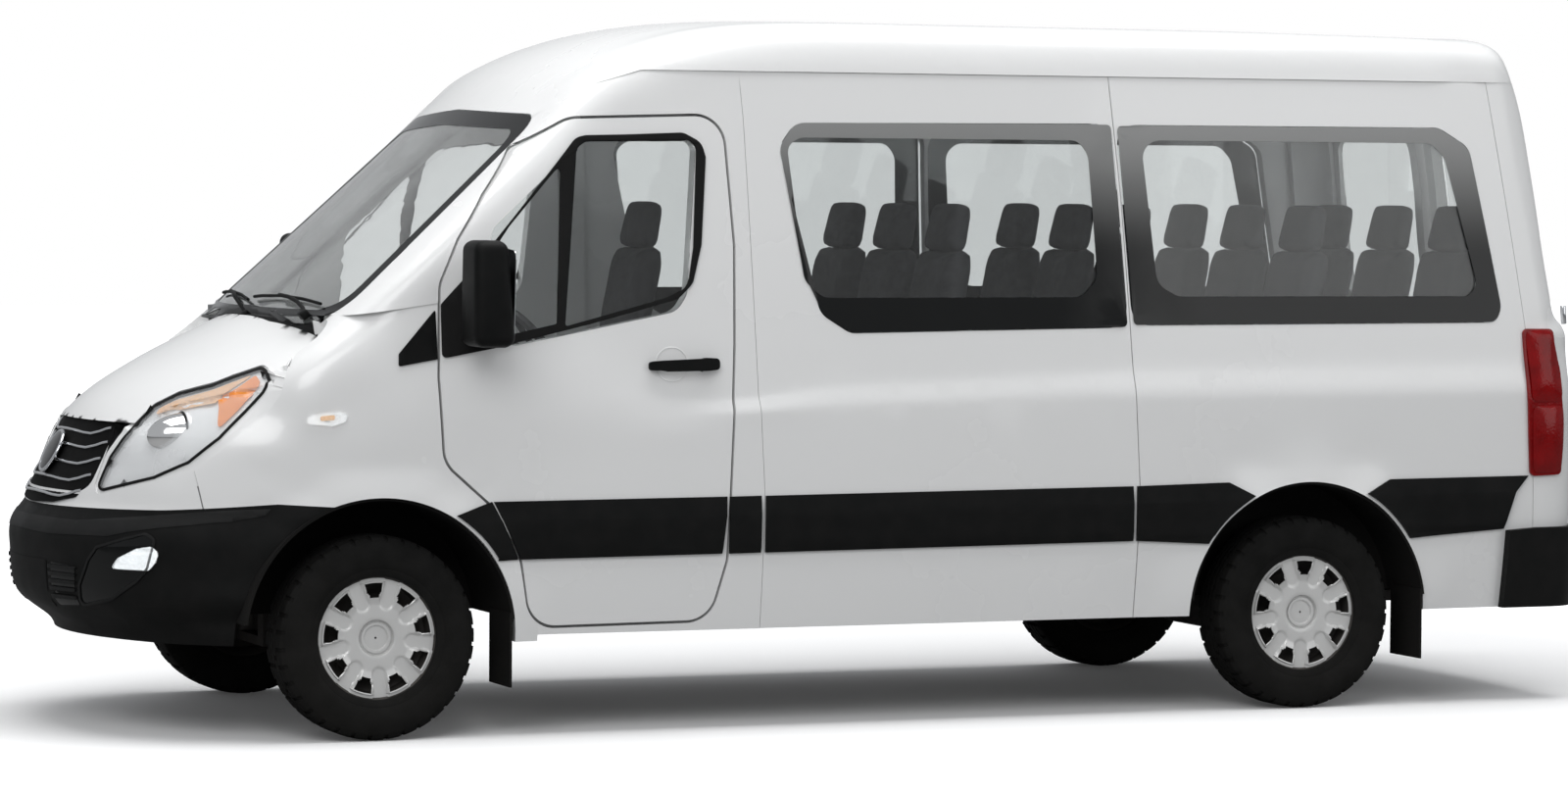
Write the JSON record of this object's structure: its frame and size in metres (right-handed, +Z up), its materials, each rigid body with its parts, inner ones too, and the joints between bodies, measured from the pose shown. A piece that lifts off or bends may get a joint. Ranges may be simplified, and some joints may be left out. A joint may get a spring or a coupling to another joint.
{
  "type": "passenger minibus",
  "caption": "White high-roof family minibus with a short sloped nose, flush side windows, rows of passenger seats, rear barn doors and steered front wheels.",
  "frame": {"origin": "on the ground under the middle of the overall box", "axes": "+Z up, +X towards the tail, +Y towards the vehicle's right side"},
  "size_m": [5.8452, 2.49, 2.5253],
  "materials": {
    "white_paint": "gloss",
    "window_glass": "clear",
    "black_plastic": "grained",
    "grille_chrome": "polished",
    "lamp_lens": "clear",
    "red_lens": "gloss",
    "grey_casting": "cast",
    "dark_steel": "satin",
    "dark_liner": "matte",
    "seat_fabric": "woven",
    "silver_cover": "satin",
    "tyre": "matte"
  },
  "bodies": {
    "body": {"body_side_left": "white_paint", "body_side_right": "white_paint", "side_panel_left": "white_paint", "sliding_door_right": "white_paint", "quarter_panel_left": "white_paint", "quarter_panel_right": "white_paint", "side_windows": "window_glass", "roof": "white_paint", "windscreen": "window_glass", "cowl": "black_plastic", "front_bumper": "black_plastic", "fender_left": "white_paint", "fender_right": "white_paint", "front_panel": "white_paint", "grille": "grille_chrome", "radiator": "grey_casting", "headlamps": "lamp_lens", "rear_frame": "white_paint", "rear_bumper": "black_plastic", "tail_lamps": "red_lens", "chassis_rails": "dark_steel", "front_suspension": "dark_steel", "rear_axle": "dark_steel", "engine": "grey_casting", "fuel_tank": "dark_steel", "exhaust": "dark_steel", "floor": "dark_steel", "wheel_housings": "dark_liner", "bulkhead": "dark_steel", "front_seats": "seat_fabric", "passenger_seats": "seat_fabric", "seat_frames": "dark_steel", "dashboard": "black_plastic"},
    "hood": {"hood": "white_paint"},
    "front_door_left": {"front_door_left": "white_paint", "front_door_glass_left": "window_glass", "mirror_left": "black_plastic"},
    "front_door_right": {"front_door_right": "white_paint", "front_door_glass_right": "window_glass", "mirror_right": "black_plastic"},
    "rear_door_left": {"rear_door_left": "white_paint", "rear_door_glass_left": "window_glass"},
    "rear_door_right": {"rear_door_right": "white_paint", "rear_door_glass_right": "window_glass"},
    "knuckle_left": {"knuckle_left": "dark_steel"},
    "knuckle_right": {"knuckle_right": "dark_steel"},
    "front_wheel_left": {"tyre_front_left": "tyre", "wheel_front_left": "silver_cover"},
    "front_wheel_right": {"tyre_front_right": "tyre", "wheel_front_right": "silver_cover"},
    "rear_wheel_left": {"tyre_rear_left": "tyre", "wheel_rear_left": "silver_cover"},
    "rear_wheel_right": {"tyre_rear_right": "tyre", "wheel_rear_right": "silver_cover"},
    "steering_wheel": {"steering_wheel": "black_plastic"}
  },
  "joints": [
    {"name": "hood_hinge", "type": "hinge", "parent": "body", "child": "hood", "pos_m": [-2.0075, 0, 1.48], "axis": [0, 1, 0], "range_deg": [0, 55]},
    {"name": "front_door_left_hinge", "type": "hinge", "parent": "body", "child": "front_door_left", "pos_m": [-1.6705, -0.985, 1], "axis": [0, 0, -1], "range_deg": [0, 70]},
    {"name": "front_door_right_hinge", "type": "hinge", "parent": "body", "child": "front_door_right", "pos_m": [-1.6705, 0.985, 1], "axis": [0, 0, 1], "range_deg": [0, 70]},
    {"name": "rear_door_left_hinge", "type": "hinge", "parent": "body", "child": "rear_door_left", "pos_m": [2.845, -0.83, 1.39], "axis": [0.0649, 0, -0.9979], "range_deg": [0, 180]},
    {"name": "rear_door_right_hinge", "type": "hinge", "parent": "body", "child": "rear_door_right", "pos_m": [2.845, 0.83, 1.39], "axis": [-0.0649, 0, 0.9979], "range_deg": [0, 180]},
    {"name": "steer_left", "type": "hinge", "parent": "body", "child": "knuckle_left", "pos_m": [-1.8775, -0.755, 0.355], "axis": [0, 0, 1], "range_deg": [-32, 32]},
    {"name": "steer_right", "type": "hinge", "parent": "body", "child": "knuckle_right", "pos_m": [-1.8775, 0.755, 0.355], "axis": [0, 0, 1], "range_deg": [-32, 32]},
    {"name": "steering_wheel_turn", "type": "hinge", "parent": "body", "child": "steering_wheel", "pos_m": [-1.1375, -0.44, 1.31], "axis": [0.8192, 0, 0.5736], "range_deg": [-520, 520]},
    {"name": "wheel_front_left_spin", "type": "hinge", "parent": "knuckle_left", "child": "front_wheel_left", "pos_m": [-1.8775, -0.85, 0.355], "axis": [0, 1, 0], "continuous": true},
    {"name": "wheel_front_right_spin", "type": "hinge", "parent": "knuckle_right", "child": "front_wheel_right", "pos_m": [-1.8775, 0.85, 0.355], "axis": [0, 1, 0], "continuous": true},
    {"name": "wheel_rear_left_spin", "type": "hinge", "parent": "body", "child": "rear_wheel_left", "pos_m": [1.6925, -0.85, 0.355], "axis": [0, 1, 0], "continuous": true},
    {"name": "wheel_rear_right_spin", "type": "hinge", "parent": "body", "child": "rear_wheel_right", "pos_m": [1.6925, 0.85, 0.355], "axis": [0, 1, 0], "continuous": true}
  ],
  "couplings": [
    {"joint": "steer_right", "follows": "steer_left", "ratio": 1},
    {"joint": "steering_wheel_turn", "follows": "steer_left", "ratio": 16}
  ]
}
